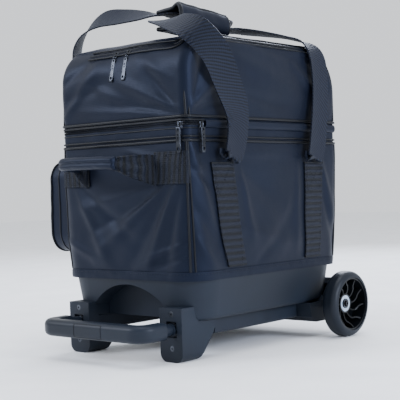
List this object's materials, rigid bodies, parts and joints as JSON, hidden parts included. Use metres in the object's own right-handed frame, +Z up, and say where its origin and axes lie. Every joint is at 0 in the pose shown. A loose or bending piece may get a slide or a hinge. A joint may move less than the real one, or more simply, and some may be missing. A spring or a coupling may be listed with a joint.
{
  "type": "roller bag",
  "caption": "Soft bag for a bowling ball on a moulded wheeled base, with an upper shoe compartment, carry straps and a telescopic pull handle stowed under the base.",
  "frame": {"origin": "on the floor under the middle of the whole object, pull handle stowed", "axes": "+Z up, -Y towards the pull handle, feet and front grab handle, +Y towards the wheels, +X towards the lid's hinge side"},
  "size_m": [0.4052, 0.511, 0.58],
  "materials": {
    "base_plastic": "fine-grained moulded polypropylene, slate black",
    "grip_plastic": "satin moulded nylon",
    "button_plastic": "satin moulded nylon",
    "inner_plastic": "natural acetal",
    "tube_aluminium": "dark anodised",
    "plated_steel": "zinc plated",
    "spring_steel": "drawn wire",
    "bearing_steel": "ground and polished",
    "tyre_rubber": "smooth polyurethane",
    "rim_plastic": "moulded nylon, semi-gloss",
    "cup_foam": "moulded EVA foam",
    "board_plastic": "extruded PE board",
    "bag_fabric": "satin polyester, padded",
    "zip_fabric": "satin polyester tape and nylon coil",
    "webbing": "ribbed polypropylene webbing",
    "zip_metal": "gunmetal plated zinc"
  },
  "bodies": {
    "root": {"base_tray": "base_plastic", "ball_cup": "cup_foam", "foot_screws": "plated_steel", "axle_housing": "base_plastic", "axle": "plated_steel", "axle_screws": "plated_steel", "axle_spacers": "plated_steel", "bearing_inner_rings": "bearing_steel", "front_foot_left": "base_plastic", "front_foot_right": "base_plastic", "rail_cover_left": "base_plastic", "rail_cover_right": "base_plastic", "outer_tube_left": "tube_aluminium", "outer_tube_right": "tube_aluminium", "body_shell": "bag_fabric", "side_stiffeners": "board_plastic", "end_stiffeners": "board_plastic", "main_zip_lower": "zip_fabric", "side_pocket": "bag_fabric", "strap_anchors": "webbing", "front_grab_patches": "webbing", "front_grab_handle": "bag_fabric", "rear_grab_handle": "webbing"},
    "middle_stage": {"middle_tube_left": "tube_aluminium", "middle_tube_right": "tube_aluminium"},
    "handle": {"grip_upper_half": "grip_plastic", "grip_lower_half": "grip_plastic", "grip_collars": "grip_plastic", "rod_bushes": "inner_plastic", "inner_guides": "inner_plastic", "inner_tube_left": "tube_aluminium", "inner_tube_right": "tube_aluminium", "button_springs": "spring_steel"},
    "button": {"release_button": "button_plastic", "release_bar": "plated_steel", "push_rods": "plated_steel"},
    "lock_pin_left": {"lock_pin_left": "plated_steel"},
    "lock_pin_right": {"lock_pin_right": "plated_steel"},
    "wheel_left": {"tyre_left": "tyre_rubber", "rim_left": "rim_plastic", "bearing_outer_rings_left": "bearing_steel"},
    "wheel_right": {"tyre_right": "tyre_rubber", "rim_right": "rim_plastic", "bearing_outer_rings_right": "bearing_steel"},
    "lid": {"lid_shell": "bag_fabric", "lid_floor": "board_plastic", "main_zip_upper": "zip_fabric"},
    "flap": {"top_flap": "bag_fabric"},
    "strap_left": {"carry_strap_left": "webbing"},
    "strap_right": {"carry_strap_right": "webbing", "handle_wrap": "bag_fabric"},
    "front_slider": {"front_slider": "zip_metal"},
    "front_pull": {"front_pull": "zip_metal"},
    "side_slider": {"side_slider": "zip_metal"},
    "side_pull": {"side_pull": "zip_metal"},
    "top_slider_left": {"top_slider_left": "zip_metal"},
    "top_pull_left": {"top_pull_left": "zip_metal"},
    "top_slider_right": {"top_slider_right": "zip_metal"},
    "top_pull_right": {"top_pull_right": "zip_metal"}
  },
  "joints": [
    {"name": "middle_slide", "type": "slide", "parent": "root", "child": "middle_stage", "axis": [0, -1, 0], "range_m": [0, 0.255]},
    {"name": "handle_slide", "type": "slide", "parent": "middle_stage", "child": "handle", "axis": [0, -1, 0], "range_m": [0, 0.25]},
    {"name": "button_press", "type": "slide", "parent": "handle", "child": "button", "axis": [0, 1, 0], "range_m": [0, 0.004], "stiffness_N_per_m": 900, "springref_m": -0.002, "deforming": ["button_springs"]},
    {"name": "lock_pin_left_slide", "type": "slide", "parent": "handle", "child": "lock_pin_left", "axis": [1, 0, 0], "range_m": [0, 0.0025]},
    {"name": "lock_pin_right_slide", "type": "slide", "parent": "handle", "child": "lock_pin_right", "axis": [-1, 0, 0], "range_m": [0, 0.0025]},
    {"name": "wheel_left_spin", "type": "hinge", "parent": "root", "child": "wheel_left", "pos_m": [-0.186, 0.1885, 0.057], "axis": [1, 0, 0], "continuous": true},
    {"name": "wheel_right_spin", "type": "hinge", "parent": "root", "child": "wheel_right", "pos_m": [0.186, 0.1885, 0.057], "axis": [1, 0, 0], "continuous": true},
    {"name": "lid_open", "type": "hinge", "parent": "root", "child": "lid", "pos_m": [0.147, 0, 0.3674], "axis": [0, 1, 0], "range_deg": [0, 85]},
    {"name": "flap_open", "type": "hinge", "parent": "lid", "child": "flap", "pos_m": [-0.079, 0, 0.5083], "axis": [0, -1, 0], "range_deg": [0, 49]},
    {"name": "strap_left_fold", "type": "hinge", "parent": "root", "child": "strap_left", "pos_m": [-0.149, 0, 0.339], "axis": [0, -1, 0], "range_deg": [0, 93.5]},
    {"name": "strap_right_fold", "type": "hinge", "parent": "root", "child": "strap_right", "pos_m": [0.1505, 0, 0.313], "axis": [0, 1, 0], "range_deg": [0, 134.2]},
    {"name": "front_zip_slide", "type": "slide", "parent": "root", "child": "front_slider", "axis": [-1, 0, 0], "range_m": [0, 0.25]},
    {"name": "front_pull_swing", "type": "hinge", "parent": "front_slider", "child": "front_pull", "pos_m": [0.129, -0.1728, 0.3594], "axis": [-1, 0, 0], "range_deg": [0, 150]},
    {"name": "side_zip_slide", "type": "slide", "parent": "root", "child": "side_slider", "axis": [0, -1, 0], "range_m": [0, 0.013]},
    {"name": "side_pull_swing", "type": "hinge", "parent": "side_slider", "child": "side_pull", "pos_m": [0.1478, -0.136, 0.3594], "axis": [0, -1, 0], "range_deg": [0, 90]},
    {"name": "top_zip_left_slide", "type": "slide", "parent": "lid", "child": "top_slider_left", "axis": [-1, 0, 0], "range_m": [0, 0.05]},
    {"name": "top_pull_left_swing", "type": "hinge", "parent": "top_slider_left", "child": "top_pull_left", "pos_m": [-0.015, -0.16184, 0.47937], "axis": [-1, 0, 0], "range_deg": [0, 140]},
    {"name": "top_zip_right_slide", "type": "slide", "parent": "lid", "child": "top_slider_right", "axis": [1, 0, 0], "range_m": [0, 0.095]},
    {"name": "top_pull_right_swing", "type": "hinge", "parent": "top_slider_right", "child": "top_pull_right", "pos_m": [0.012, -0.16184, 0.47937], "axis": [-1, 0, 0], "range_deg": [0, 140]}
  ],
  "couplings": [
    {"joint": "lock_pin_left_slide", "follows": "button_press", "ratio": 0.625},
    {"joint": "lock_pin_right_slide", "follows": "button_press", "ratio": 0.625},
    {"joint": "flap_open", "follows": "lid_open", "ratio": 0.575},
    {"joint": "strap_left_fold", "follows": "lid_open", "ratio": 1.1},
    {"joint": "strap_right_fold", "follows": "lid_open", "ratio": 1.578}
  ]
}
